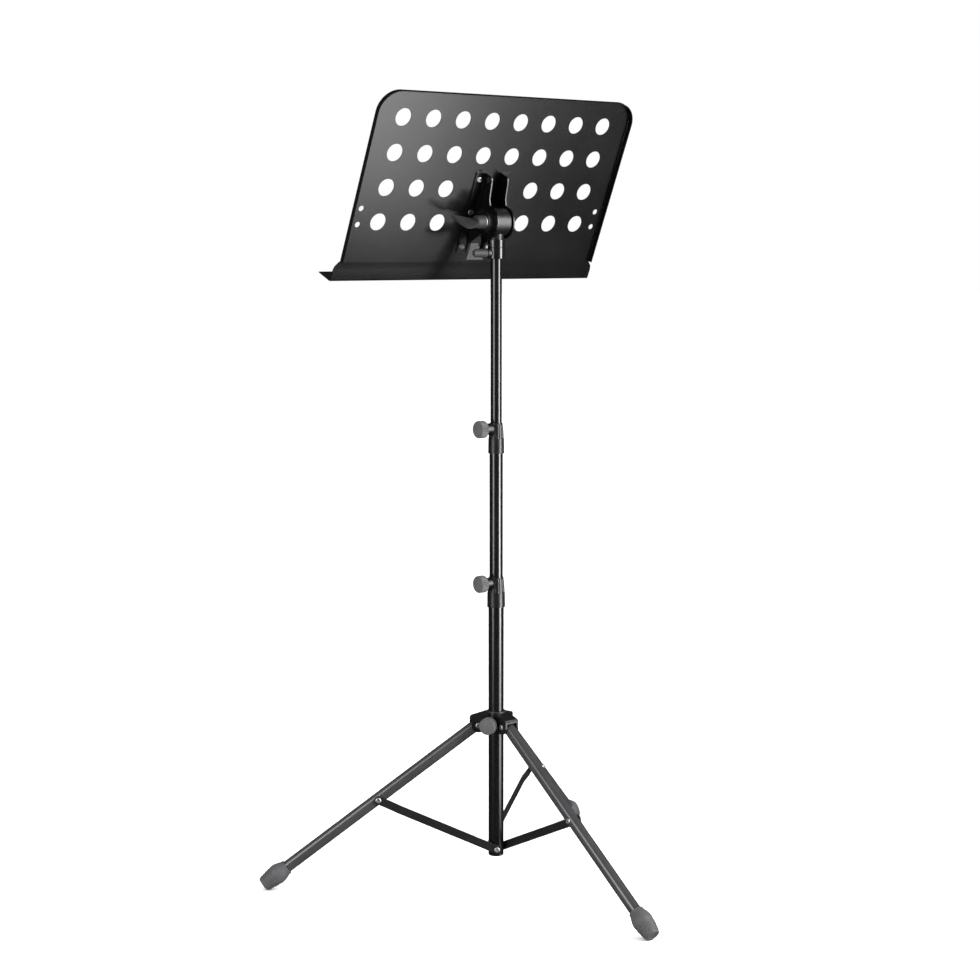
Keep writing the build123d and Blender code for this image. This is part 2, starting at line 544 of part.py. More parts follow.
def panel_outline(sketch):
    """The panel above the apron: a rectangle with its two upper corners rounded."""
    with Locations((0, (DESK_UP - RIM_END) / 2)):
        Rectangle(2 * DESK_HALF, DESK_UP + RIM_END)
    fillet(sketch.vertices().group_by(Axis.Y)[-1], CORNER_R)


with BuildPart() as desk_sheet:
    with BuildSketch(back_face) as panel:
        panel_outline(panel)
    extrude(amount=SHEET)
    with BuildSketch(front_face) as rim:
        panel_outline(rim)
        offset(amount=-SHEET, mode=Mode.SUBTRACT)
        with Locations((0, -RIM_END)):
            Rectangle(2 * DESK_HALF - 2 * SHEET, 4 * SHEET, mode=Mode.SUBTRACT)
    extrude(amount=-RIM_DEPTH)
    with BuildSketch(back_face):
        flare = [(DESK_LOW_HALF - short, -RIM_END - drop) for drop, short in APRON_FLARE]
        right_edge = [(DESK_HALF, -RIM_END), *flare, (DESK_LOW_HALF, -DESK_DOWN)]
        left_edge = [(-across, up) for across, up in reversed(right_edge)]
        Polygon(*right_edge, *left_edge, align=None)
    extrude(amount=SHEET)
    with BuildSketch(back_face):
        with Locations((0, -DESK_DOWN + SHEET / 2)):
            Rectangle(2 * DESK_LOW_HALF, SHEET)
    extrude(amount=SHEET + LEDGE_DEPTH)
    with BuildSketch(back_face):
        for row in range(4):
            for column in range(8):
                across = (column - 3.5) * PITCH
                if row < 2 or abs(across) > PITCH:
                    with Locations((across, TOP_ROW - row * PITCH)):
                        Circle(HOLE_R)
        for side in (-1, 1):
            for up in SMALL_HOLE_UP:
                with Locations((side * SMALL_HOLE_X, up)):
                    Circle(SMALL_HOLE_R)
            for up in STRIP_RIVETS_UP:
                with Locations((side * STRIP_RIVET_X, up)):
                    Circle(RIVET_R)
    extrude(amount=SHEET, mode=Mode.SUBTRACT)
save(desk_sheet, "desk_sheet")


def bracket(side):
    """Upright bracket behind the desk: a riveted strip and a cheek with a round ear."""
    cheek_start = CHEEK_IN if side > 0 else -CHEEK_OUT
    cheek_plane = Plane(origin=(cheek_start, 0, TILT_Z), x_dir=up_desk, z_dir=(1, 0, 0))
    middle = side * (CHEEK_IN + STRIP_OUT) / 2
    with BuildPart() as body:
        with BuildSketch(cheek_plane):
            Circle(EAR_R)
            # the cheek's outline, up the desk and towards it from the tilt axis
            Polygon(
                (STRIP_UP, DESK_STANDOFF),
                (STRIP_UP, 20),
                (STRIP_UP - 2, 16),
                (STRIP_UP - 6, 14),
                (29.5, 9.3),
                (22, 4),
                (0, 0),
                (-21, 8),
                (-44, 28),
                (-STRIP_DOWN, DESK_STANDOFF - CHEEK_THICK),
                (-STRIP_DOWN, DESK_STANDOFF),
                align=None,
            )
            Circle(BOLT_R, mode=Mode.SUBTRACT)
        extrude(amount=CHEEK_THICK)
        with BuildSketch(desk_plane.offset(DESK_STANDOFF - CHEEK_THICK)):
            with Locations((middle, (STRIP_UP - STRIP_DOWN) / 2)):
                Rectangle(STRIP_OUT - CHEEK_IN, STRIP_UP + STRIP_DOWN)
            with Locations(*[(side * STRIP_RIVET_X, up) for up in STRIP_RIVETS_UP]):
                Circle(RIVET_R, mode=Mode.SUBTRACT)
        extrude(amount=CHEEK_THICK)
    return body


save(bracket(1), "right_bracket")
save(bracket(-1), "left_bracket")

# The rivets are set flush with the desk's front face, so that paper lies flat on it.
with BuildPart() as desk_rivets:
    for side in (-1, 1):
        for up in STRIP_RIVETS_UP:
            spot = Plane(
                origin=Vector(side * STRIP_RIVET_X, 0, TILT_Z) + up_desk * up + to_reader * DESK_STANDOFF,
                x_dir=(1, 0, 0),
                z_dir=to_reader,
            )
            rod(spot, DESK_RIVET_HEAD_R, -CHEEK_THICK - DESK_RIVET_HEAD_H, -CHEEK_THICK)
            rod(spot, RIVET_R, -CHEEK_THICK, SHEET)
save(desk_rivets, "desk_rivets")
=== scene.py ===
import bpy
import json
from math import atan2, cos, pi, radians, sin, tau
from mathutils import Matrix, Vector

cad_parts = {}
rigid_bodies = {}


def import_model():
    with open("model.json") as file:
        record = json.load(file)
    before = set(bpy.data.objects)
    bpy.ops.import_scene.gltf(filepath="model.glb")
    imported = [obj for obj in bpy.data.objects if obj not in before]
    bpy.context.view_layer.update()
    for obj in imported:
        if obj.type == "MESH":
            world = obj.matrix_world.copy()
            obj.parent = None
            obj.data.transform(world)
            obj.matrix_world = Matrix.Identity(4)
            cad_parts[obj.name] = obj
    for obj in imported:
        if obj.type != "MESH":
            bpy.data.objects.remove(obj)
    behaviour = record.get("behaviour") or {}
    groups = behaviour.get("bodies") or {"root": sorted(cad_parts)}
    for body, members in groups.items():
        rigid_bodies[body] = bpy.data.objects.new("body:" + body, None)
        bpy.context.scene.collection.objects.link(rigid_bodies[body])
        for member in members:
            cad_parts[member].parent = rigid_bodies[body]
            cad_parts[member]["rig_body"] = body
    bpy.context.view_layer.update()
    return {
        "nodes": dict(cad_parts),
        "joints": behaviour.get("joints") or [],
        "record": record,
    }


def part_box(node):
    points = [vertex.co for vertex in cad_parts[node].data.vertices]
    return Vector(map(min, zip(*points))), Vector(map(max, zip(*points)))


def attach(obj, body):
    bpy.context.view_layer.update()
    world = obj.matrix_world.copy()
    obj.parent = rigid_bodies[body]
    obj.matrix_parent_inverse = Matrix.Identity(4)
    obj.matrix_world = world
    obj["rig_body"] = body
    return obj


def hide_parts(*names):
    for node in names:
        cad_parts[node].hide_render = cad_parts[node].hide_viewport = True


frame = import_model()

# A folding music stand: tripod base, telescopic column, tilting head and perforated desk.
# Lengths are in metres; MM turns a length in millimetres into metres.
MM = 0.001
X, Y, Z = Vector((1, 0, 0)), Vector((0, 1, 0)), Vector((0, 0, 1))
JOINTS = {joint["name"]: joint for joint in frame["joints"]}
MOUNTS = {mount["name"]: mount for mount in frame["record"]["mounts"]}
SIDES = ("rear", "left", "right")
ROUND = 96  # faces round a turned piece
SMALL_ROUND = 48
NEAR = 0.01 * MM  # closer than this counts as the same place

# ---- sheet metal ----
SHEET = 1.2 * MM
PANEL_HALF, APRON_HALF, APRON_STEP = 222 * MM, 230 * MM, 1.5 * MM
FLARE_DROP, STEP_DROP = 8 * MM, 5 * MM  # the apron widens over these, below the rim's end
PANEL_TOP, RIM_END, LEDGE_TOP = 172.2 * MM, -73.8 * MM, -102.6 * MM
PANEL_FRONT = 34.5 * MM  # front face, out from the tilt axis
CORNER = 32 * MM
RIM_DEPTH, LEDGE_DEPTH = 9 * MM, 30 * MM
BEND = 1.8 * MM
HOLE_PITCH, HOLE_R, TOP_ROW = 50 * MM, 12.5 * MM, 134.2 * MM
CLIP_HOLE_R = 4.1 * MM

# ---- column ----
TUBE_WALL = 1 * MM
TUBE_LIP = 0.3 * MM
COLLAR_STEP = 21 * MM
COLLAR_LIP = 7 * MM
COLLAR_FLUTES = 12
BOSS_R, INSERT_R = 8 * MM, 4.5 * MM

# ---- knobs ----
KNOB_R, KNOB_LENGTH, KNOB_FLUTES = 12.3 * MM, 12.6 * MM, 28
BOLT_R = 3 * MM

# ---- tilting head ----
DRUM_R, DRUM_HALF = 19.8 * MM, 12.5 * MM
NECK_R = 10.8 * MM
BOLT_HEAD_R, BOLT_HEAD_H = 7 * MM, 3.8 * MM
BOLT_SOCKET_R, BOLT_SOCKET_DEPTH = 2.3 * MM, 2 * MM
SLEEVE_GROOVE = 15 * MM  # up from the sleeve's lower end
DOME_R, BARREL_R = 14.5 * MM, 9 * MM
WING_TURN = radians(-25)
WING_BARREL = 14.75 * MM
PADDLE_STEPS = ((11, 19, 8), (17, 27, 5.5), (25, 38, 4.6), (33, 47, 4.6), (39.5, 50, 5.4),
                (42.5, 42, 5), (43, 34, 3))
GRIP_UP, GRIP_DOWN = 13.4 * MM, 8.8 * MM
GRIP_TOP, GRIP_FOOT, GRIP_THICK = 12.5 * MM, 29 * MM, 5.5 * MM
GRIP_RIBS, RIB_LAND, RIB_DEPTH = 5, 0.3 * MM, 1.1 * MM
GRIP_BARREL_R = 6 * MM

# ---- legs and feet ----
LEG_WALL = 1.2 * MM
FOOT_LENGTH, FOOT_COLLAR_R, FOOT_BULGE_R, FOOT_TIP_R = 42 * MM, 10.7 * MM, 14.5 * MM, 10.5 * MM
FOOT_BULGE_AT = 18 * MM
FOOT_PAST_TUBE = 14 * MM
FOOT_RINGS = (25 * MM, 29 * MM, 33 * MM, 37 * MM)
FOOT_RING_HALF, FOOT_RING_RISE = 0.9 * MM, 0.6 * MM
RIVET_HEAD_R, RIVET_HEAD_H, RIVET_BORE_R = 4.2 * MM, 1.6 * MM, 1.7 * MM


# ======================= finishes =======================
class Value:
    """A socket that sums and products can be written with."""

    def __init__(self, surface, socket):
        self.surface, self.socket = surface, socket

    def joined(self, operation, first, second):
        return self.surface.add("ShaderNodeMath", {"operation": operation}, {0: first, 1: second})

    def __add__(self, other):
        return self.joined("ADD", self, other)

    def __mul__(self, other):
        return self.joined("MULTIPLY", self, other)

    __radd__ = __add__


class Surface:
    """A finish being laid up round one shader."""

    def __init__(self, name, **settings):
        self.material = bpy.data.materials.new(name)
        self.material.use_nodes = True
        self.tree = self.material.node_tree
        self.shader = self.tree.nodes["Principled BSDF"]
        for socket, value in settings.items():
            label = socket.replace("_", " ").title().replace("Ior", "IOR")
            self.shader.inputs[label].default_value = value
        self.place = self.add("ShaderNodeTexCoord", {}, {}, "Object")

    def put(self, target, value):
        if isinstance(value, Value):
            self.tree.links.new(value.socket, target)
        else:
            target.default_value = value

    def add(self, kind, settings, values, output=0):
        node = self.tree.nodes.new(kind)
        for setting, value in settings.items():
            setattr(node, setting, value)
        for socket, value in values.items():
            self.put(node.inputs[socket], value)
        return Value(self, node.outputs[output])

    def grain(self, size, detail=3.0, stretch=(1, 1, 1)):
        """Noise whose lumps are about this size, drawn out where stretch is small."""
        spot = self.add("ShaderNodeMapping", {}, {"Vector": self.place, "Scale": stretch})
        return self.add("ShaderNodeTexNoise", {}, {"Vector": spot, "Scale": 1 / size, "Detail": detail})

    def spread(self, value, low, high):
        return self.add("ShaderNodeMapRange", {}, {"Value": value, "From Min": low, "From Max": high})

    def colour(self, value, dark, light):
        mixed = self.add("ShaderNodeMix", {"data_type": "RGBA"}, {0: value, 6: dark, 7: light}, 2)
        self.put(self.shader.inputs["Base Color"], mixed)

    def rough(self, value):
        self.put(self.shader.inputs["Roughness"], value)

    def relief(self, height, depth):
        bump = self.add("ShaderNodeBump", {}, {"Height": height, "Distance": depth, "Strength": 1.0})
        self.put(self.shader.inputs["Normal"], bump)
        return self.material


def grey(level):
    return (level, level, level * 1.04, 1)


def powder_coat():
    """Satin black powder coat: fine orange peel, slightly cloudy gloss."""
    coat = Surface("powder_coat", roughness=0.4, specular_ior_level=0.55)
    cloud = coat.grain(60 * MM, 2)
    peel = coat.grain(0.9 * MM, 2)
    speck = coat.spread(coat.grain(0.5 * MM, 1), 0.68, 0.78)
    coat.colour(cloud * 0.6 + speck * 0.4, grey(0.001), grey(0.004))
    coat.rough(0.22 + cloud * 0.04 + speck * 0.06)
    return coat.relief(peel, 0.006 * MM)


def tube_enamel(name, dark, light, roughness):
    """Baked enamel on drawn tube, faintly cloudy, with a little dust in the gloss."""
    coat = Surface(name, roughness=roughness, specular_ior_level=0.6, coat_roughness=0.12)
    cloud = coat.grain(25 * MM, 2)
    dust = coat.spread(coat.grain(1.5 * MM, 2), 0.6, 0.8)
    coat.colour(cloud + dust * 0.5, grey(dark), grey(light))
    coat.rough(roughness + cloud * 0.03 + dust * 0.05)
    return coat.relief(coat.grain(0.8 * MM, 2), 0.0008 * MM)


def moulded(name, dark, light, roughness, texture, depth):
    """Moulded plastic or rubber with a spark-eroded texture and slight bloom."""
    coat = Surface(name, roughness=roughness, specular_ior_level=0.45)
    bloom = coat.grain(9 * MM, 4)
    pits = coat.grain(texture, 2)
    coat.colour(bloom * 0.7 + pits * 0.3, grey(dark), grey(light))
    coat.rough(roughness - 0.08 + bloom * 0.16)
    return coat.relief(pits, depth)


def metal(name, colour, roughness):
    """Plated or plain metal with fine handling marks."""
    coat = Surface(name, metallic=1.0, roughness=roughness)
    marks = coat.spread(coat.grain(0.7 * MM, 3, (1, 1, 0.2)), 0.5, 0.75)
    haze = coat.grain(4 * MM, 3)
    coat.colour(haze, tuple(0.75 * c for c in colour[:3]) + (1,), colour)
    coat.rough(roughness + haze * 0.12 + marks * 0.12)
    return coat.relief(marks, 0.004 * MM)


FINISHES = {
    "desk_black": powder_coat(),
    "tube_black": tube_enamel("tube_enamel", 0.0015, 0.004, 0.2),
    # Painted sheen: the leg enamel's base colour is about ten times lighter than the tube enamel's and
    # stands in for the light the angled legs reflect.
    "leg_black": tube_enamel("leg_enamel_painted_sheen", 0.022, 0.034, 0.22),
    "plastic_black": moulded("moulded_black", 0.002, 0.006, 0.36, 0.5 * MM, 0.02 * MM),
    "knob_grey": moulded("knob_plastic", 0.042, 0.068, 0.55, 0.6 * MM, 0.04 * MM),
    "grip_plastic": moulded("grip_plastic", 0.012, 0.022, 0.6, 0.5 * MM, 0.02 * MM),
    "foot_rubber": moulded("foot_rubber", 0.036, 0.062, 0.6, 0.8 * MM, 0.06 * MM),
    "steel_bright": metal("zinc_plate", (0.62, 0.62, 0.64, 1), 0.38),
    "steel_black": tube_enamel("blackened_steel", 0.004, 0.009, 0.34),
    "nylon": moulded("nylon", 0.012, 0.02, 0.42, 0.4 * MM, 0.01 * MM),
    "brass": metal("brass", (0.6, 0.46, 0.22, 1), 0.28),
}
OWN_FINISH = {"socket_grip": "grip_plastic", "tilt_wing_knob": "grip_plastic"}


# ======================= bench tools =======================
def deselect():
    bpy.ops.object.select_all(action="DESELECT")


def edit(piece, on=True):
    if on:
        deselect()
        bpy.context.view_layer.objects.active = piece
        piece.select_set(True)
    bpy.ops.object.mode_set(mode="EDIT" if on else "OBJECT")


def pick(piece, kind, wanted):
    """In edit mode, selects the verts, edges or faces that the test wants, and nothing else."""
    bpy.ops.mesh.select_mode(type=kind)
    bpy.ops.mesh.select_all(action="DESELECT")
    bpy.ops.object.mode_set(mode="OBJECT")
    mesh = piece.data
    groups = {"VERT": mesh.vertices, "EDGE": mesh.edges, "FACE": mesh.polygons}
    for element in groups[kind]:
        element.select = bool(wanted(element))
    bpy.ops.object.mode_set(mode="EDIT")


def start(name, primitive, **settings):
    """A new piece from a primitive, left in edit mode with all of it selected."""
    deselect()
    getattr(bpy.ops.mesh, f"primitive_{primitive}_add")(**settings)
    piece = bpy.context.object
    piece.name = name
    edit(piece)
    bpy.ops.mesh.select_mode(type="VERT")
    bpy.ops.mesh.select_all(action="SELECT")
    return piece


def tidy(piece):
    """Merges what coincides, turns the faces outwards and leaves edit mode."""
    bpy.ops.mesh.select_all(action="SELECT")
    bpy.ops.mesh.remove_doubles(threshold=0.002 * MM)
    bpy.ops.mesh.normals_make_consistent(inside=False)
    edit(piece, False)
    return piece


def turned(name, outline, steps=ROUND):
    """A piece turned about Z: a point pulled along the outline, of (radius, height), then spun."""
    piece = start(name, "plane", size=MM)
    bpy.ops.mesh.merge(type="CENTER")
    bpy.ops.transform.translate(value=(outline[0][0], 0, outline[0][1]))
    for (radius, height), (next_radius, next_height) in zip(outline, outline[1:]):
        step = (next_radius - radius, 0, next_height - height)
        bpy.ops.mesh.extrude_region_move(TRANSFORM_OT_translate={"value": step})
    bpy.ops.mesh.select_all(action="SELECT")
    bpy.ops.mesh.spin(steps=steps, angle=tau, center=(0, 0, 0), axis=(0, 0, 1))
    return tidy(piece)


def modify(piece, kind, **settings):
    deselect()
    bpy.context.view_layer.objects.active = piece
    piece.select_set(True)
    modifier = piece.modifiers.new(kind.title(), kind)
    for setting, value in settings.items():
        setattr(modifier, setting, value)
    bpy.ops.object.modifier_apply(modifier=modifier.name)
    return piece


def soften(piece, width, segments=3, angle=32):
    """Breaks the sharp edges and shades the piece."""
    if width:
        modify(
            piece,
            "BEVEL",
            width=width,
            segments=segments,
            limit_method="ANGLE",
            angle_limit=radians(angle),
            use_clamp_overlap=True,
        )
    deselect()
    bpy.context.view_layer.objects.active = piece
    piece.select_set(True)
    bpy.ops.object.shade_smooth_by_angle(angle=radians(38))
    return modify(piece, "WEIGHTED_NORMAL", keep_sharp=True)


def combine(piece, tool, operation):
    modify(piece, "BOOLEAN", object=tool, operation=operation, solver="EXACT")
    bpy.data.objects.remove(tool)
    return piece


def join(*parts):
    deselect()
    for part in parts:
        part.select_set(True)
    bpy.context.view_layer.objects.active = parts[0]
    bpy.ops.object.join()
    return parts[0]


def column_of(point, steps):
    """Which of a turned piece's columns of corners a point is in."""
    return round(atan2(point.y, point.x) / tau * steps) % steps


def copied(piece, name):
    twin = piece.copy()
    twin.data = piece.data.copy()
    twin.name = name
    bpy.context.scene.collection.objects.link(twin)
    return twin


def settle(piece, matrix):
    """Puts a piece at its place, with the place in its mesh."""
    piece.data.transform(matrix)
    if matrix.determinant() < 0:
        edit(piece)
        bpy.ops.mesh.select_all(action="SELECT")
        bpy.ops.mesh.normals_make_consistent(inside=False)
        edit(piece, False)
    return piece


def seat(origin, axis, across=None):
    """A place whose Z runs along the axis and, if given, whose X lies across it."""
    axis = Vector(axis).normalized()
    side = Vector(across) if across else (X if abs(axis.x) < 0.9 else Y)
    side = (side - side.dot(axis) * axis).normalized()
    turn = Matrix((side, axis.cross(side), axis)).transposed()
    return Matrix.Translation(origin) @ turn.to_4x4()


def finished(piece, *nodes):
    """Gives a finished piece its body, the CAD nodes it stands for, and its finish."""
    slots = {part["node"]: part["material_slot"] for part in frame["record"]["subparts"]}
    slot = slots[nodes[0]]
    piece.data.materials.clear()
    piece.data.materials.append(FINISHES[OWN_FINISH.get(nodes[0], slot)])
    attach(piece, frame["nodes"][nodes[0]]["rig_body"])
    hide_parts(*nodes)
    return piece


def reach(node, origin, axis):
    """Where a CAD node starts and ends along an axis, from the origin."""
    steps = [(vertex.co - origin).dot(axis) for vertex in frame["nodes"][node].data.vertices]
    return min(steps), max(steps)


def softened_copy(node, name, width, segments=2):
    """A CAD piece with its facets merged into whole faces and its edges broken."""
    piece = copied(frame["nodes"][node], name)
    for key in list(piece.keys()):
        del piece[key]
    piece.parent = None
    edit(piece)
    bpy.ops.mesh.select_all(action="SELECT")
    bpy.ops.mesh.remove_doubles(threshold=0.002 * MM)
    bpy.ops.mesh.dissolve_limited(angle_limit=radians(0.5))
    edit(piece, False)
    return soften(piece, width, segments)


# ======================= column =======================
def tube(node, name, low, high, radius, wall, matrix):
    inner = radius - wall
    lip = TUBE_LIP
    outline = [
        (inner, low + lip), (inner + lip, low), (radius - lip, low), (radius, low + lip),
        (radius, high - lip), (radius - lip, high), (inner + lip, high), (inner, high - lip),
        (inner, low + lip),
    ]
    piece = soften(turned(name, outline), 0)
    return finished(settle(piece, matrix), node)


def box_radius(node):
    low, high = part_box(node)
    return (high.x - low.x) / 2


def column():
    for node in ("lower_tube", "middle_tube", "top_tube"):
        low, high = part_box(node)
        tube(node, f"{node}_shell", low.z, high.z, box_radius(node), TUBE_WALL, Matrix())
    low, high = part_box("end_cap")
    radius = box_radius("end_cap")
    rim = low.z + 2 * MM
    outline = [
        (0, low.z + 0.8 * MM), (0.6 * radius, low.z + 0.6 * MM), (0.7 * radius, low.z),
        (radius - 0.7 * MM, low.z), (radius, low.z + 0.7 * MM), (radius, rim),
        (radius - TUBE_WALL, rim), (radius - TUBE_WALL, high.z), (0, high.z),
    ]
    finished(soften(turned("end_cap_moulding", outline), 0.15 * MM, 2), "end_cap")


def collar(which, tube_node, inner_node):
    """Bullet-shaped clamp collar: plain skirt, a step, and a fluted nose; a boss for the screw."""
    low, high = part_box(f"{which}_collar")
    tube_r, inner_r = box_radius(tube_node), box_radius(inner_node)
    skirt, top, step = low.z, high.z, low.z + COLLAR_STEP
    nose_low, nose_high = tube_r + 1.2 * MM, inner_r + 0.9 * MM
    nose = [
        (nose_high + (nose_low - nose_high) * sin(share * pi / 2), top - share * (top - step))
        for share in (0, 0.06, 0.14, 0.24, 0.36, 0.5, 0.65, 0.8, 0.94, 1)
    ]
    bore, mouth = tube_r, inner_r + 0.3 * MM
    outline = [
        (bore, skirt), (tube_r + 1.8 * MM, skirt), (tube_r + 1.6 * MM, step), *reversed(nose),
        (mouth, top), (mouth, top - COLLAR_LIP), (bore, top - COLLAR_LIP), (bore, skirt),
    ]
    body = turned(f"{which}_collar_moulding", outline)
    edit(body)
    per_flute = ROUND // COLLAR_FLUTES

    def in_flute(vertex):
        turn = column_of(vertex.co, ROUND) % per_flute
        outside = vertex.co.xy.length > mouth + 0.4 * MM
        return outside and turn in (3, 4, 5) and step + 0.5 * MM < vertex.co.z < top - 2 * MM

    pick(body, "VERT", in_flute)
    bpy.ops.transform.resize(value=(0.955, 0.955, 1), center_override=(0, 0, 0))
    edit(body, False)
    turn = JOINTS[f"{which}_clamp_knob_turn"]
    axis, origin = Vector(turn["axis"]), Vector(turn["pos_m"])
    out = reach(f"{which}_clamp_insert", origin, axis)[1]
    boss_outline = [
        (INSERT_R, tube_r + 0.4 * MM), (BOSS_R, tube_r + 0.4 * MM), (BOSS_R, out),
        (INSERT_R, out), (INSERT_R, tube_r + 0.4 * MM),
    ]
    boss = settle(turned("boss", boss_outline, SMALL_ROUND), seat(origin, axis))
    combine(body, boss, "UNION")
    finished(soften(body, 0.3 * MM, 2), f"{which}_collar")


def knob(node, joint, name):
    """Domed, fluted thumb knob turned about its screw."""
    axis, origin = Vector(joint["axis"]), Vector(joint["pos_m"])
    back = reach(node, origin, axis)[0]
    radius, length = KNOB_R, KNOB_LENGTH
    profile = [
        (0, 0.05), (0.5, 0.05), (0.55, 0), (0.86, 0), (0.95, 0.05), (1, 0.14), (1, 0.84), (0.975, 0.92),
        (0.91, 0.97), (0.84, 0.975), (0.81, 0.95), (0.7, 0.965), (0.45, 0.99), (0.2, 1), (0, 1),
    ]
    piece = turned(name, [(r * radius, h * length) for r, h in profile], 4 * KNOB_FLUTES)
    edit(piece)
    for columns, scale in (((0,), 0.935), ((1, 3), 0.975)):

        def in_groove(vertex, columns=columns):
            column = column_of(vertex.co, 4 * KNOB_FLUTES) % 4
            return vertex.co.xy.length > 0.94 * radius and column in columns

        pick(piece, "VERT", in_groove)
        bpy.ops.transform.resize(value=(scale, scale, 1), center_override=(0, 0, 0))
    edit(piece, False)
    soften(piece, 0)
    finished(settle(piece, seat(origin + axis * back, axis, Z)), node)


# ======================= rivets, pins and screws =======================
def rivet(name, low, high, shank_r, heads):
    """Semi-tubular rivet along Z: a shank with a low domed, hollow head at each chosen end."""
    head, rise, hole = RIVET_HEAD_R, RIVET_HEAD_H, RIVET_BORE_R
    dome = [(head, 0), (head, 0.35), (0.93 * head, 0.7), (0.75 * head, 0.95), (0.58 * head, 1),
            (hole, 0.85)]
    bottom = [(0, low)]
    if "low" in heads:
        bottom = [(0, low + 0.4 * rise), (hole, low + 0.4 * rise)]
        bottom += [(r, low + rise * (1 - h)) for r, h in reversed(dome)]
        bottom += [(shank_r, low + rise)]
    else:
        bottom += [(shank_r, low)]
    top = [(shank_r, high), (0, high)]
    if "high" in heads:
        top = [(shank_r, high - rise)] + [(r, high - rise * (1 - h)) for r, h in dome]
        top += [(hole, high - 0.4 * rise), (0, high - 0.4 * rise)]
    return soften(turned(name, bottom + top, SMALL_ROUND), 0)


def solids(node):
    """The separate solids of a CAD node, each as the list of its vertices."""
    mesh = frame["nodes"][node].data
    owner = list(range(len(mesh.vertices)))

    def root(index):
        while owner[index] != index:
            owner[index] = owner[owner[index]]
            index = owner[index]
        return index

    first = {}
    for vertex in mesh.vertices:
        spot = tuple(round(c / (0.001 * MM)) for c in vertex.co)
        owner[root(vertex.index)] = root(first.setdefault(spot, vertex.index))
    for edge in mesh.edges:
        owner[root(edge.vertices[0])] = root(edge.vertices[1])
    found = {}
    for vertex in mesh.vertices:
        found.setdefault(root(vertex.index), []).append(vertex.co.copy())
    return list(found.values())


def middle(points):
    lows = Vector(min(p[i] for p in points) for i in range(3))
    highs = Vector(max(p[i] for p in points) for i in range(3))
    return (lows + highs) / 2


def rivets(node, name, axis_at, heads=("low", "high"), shank_r=2.4 * MM):
    """Rivets where a CAD node's solids are, joined as one piece. axis_at gives each one's axis."""
    made = []
    for points in solids(node):
        centre = middle(points)
        axis = axis_at(centre)
        steps = [(p - centre).dot(axis) for p in points]
        place = seat(centre, axis)
        made.append(settle(rivet("rivet", min(steps), max(steps), shank_r, heads), place))
    piece = join(*made)
    piece.name = name
    return finished(piece, node)


def sideways(centre):
    """The level direction square to the line from the column to a point."""
    return Vector((-centre.y, centre.x, 0)).normalized()


def tilt_bolt():
    """Shank along X with a domed head that has a hexagon socket."""
    low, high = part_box("tilt_bolt")
    origin = Vector((0, 0, (low.z + high.z) / 2))
    head_in = low.x + BOLT_HEAD_H
    dome = [
        (BOLT_HEAD_R * sin(a * pi / 16), head_in - BOLT_HEAD_H * cos(a * pi / 16))
        for a in range(0, 8)
    ]
    outline = dome + [(BOLT_HEAD_R, head_in), (BOLT_R, head_in), (BOLT_R, high.x), (0, high.x)]
    piece = turned("tilt_bolt_turning", outline)
    depth, place = 2 * BOLT_SOCKET_DEPTH, (0, 0, low.x)
    socket = start("socket", "cylinder", vertices=6, radius=BOLT_SOCKET_R, depth=depth, location=place)
    tidy(socket)
    combine(piece, socket, "DIFFERENCE")
    soften(piece, 0.15 * MM, 2)
    finished(settle(piece, seat(origin, X)), "tilt_bolt")


# ======================= base =======================
def foot(side, origin, along):
    """Barrel-shaped rubber foot: a collar, a smooth swell and raised rings near its tip."""
    end = reach(f"{side}_leg_tube", origin, along)[1] + FOOT_PAST_TUBE
    begin = end - FOOT_LENGTH

    def swell(at):
        if at < FOOT_BULGE_AT:
            share = sin(pi / 2 * (at - 3 * MM) / (FOOT_BULGE_AT - 3 * MM))
            return FOOT_COLLAR_R + share * (FOOT_BULGE_R - FOOT_COLLAR_R)
        share = (at - FOOT_BULGE_AT) / (FOOT_LENGTH - FOOT_BULGE_AT)
        return FOOT_BULGE_R + share * (FOOT_TIP_R - FOOT_BULGE_R)

    leg_r = FOOT_COLLAR_R - 2.15 * MM
    outline = [(leg_r, begin), (FOOT_COLLAR_R - 0.5 * MM, begin), (FOOT_COLLAR_R, begin + 0.5 * MM)]
    outline += [(swell(at * MM), begin + at * MM) for at in (3, 5, 7, 9, 11, 13, 15, 18, 21)]
    for ring in FOOT_RINGS:
        low, high = ring - FOOT_RING_HALF, ring + FOOT_RING_HALF
        outline += [
            (swell(low) - 0.3 * MM, begin + low - 0.3 * MM),
            (swell(low) + 0.7 * FOOT_RING_RISE, begin + low),
            (swell(ring) + FOOT_RING_RISE, begin + ring),
            (swell(high) + 0.7 * FOOT_RING_RISE, begin + high),
            (swell(high) - 0.3 * MM, begin + high + 0.3 * MM),
        ]
    outline += [(FOOT_TIP_R, end - 1.5 * MM)]
    outline += [
        (FOOT_TIP_R - 1.5 * MM * (1 - cos(turn)), end - 1.5 * MM * (1 - sin(turn)))
        for turn in (pi / 8, pi / 4, 3 * pi / 8, pi / 2)
    ]
    outline += [(0.55 * FOOT_TIP_R, end), (0.5 * FOOT_TIP_R, end - 0.6 * MM), (0, end - 0.6 * MM)]
    outline += [(0, end - 13 * MM), (leg_r, end - 13.5 * MM), (leg_r, begin)]
    piece = soften(turned(f"{side}_foot_moulding", outline), 0)
    finished(settle(piece, seat(origin, along, Z)), f"{side}_foot")


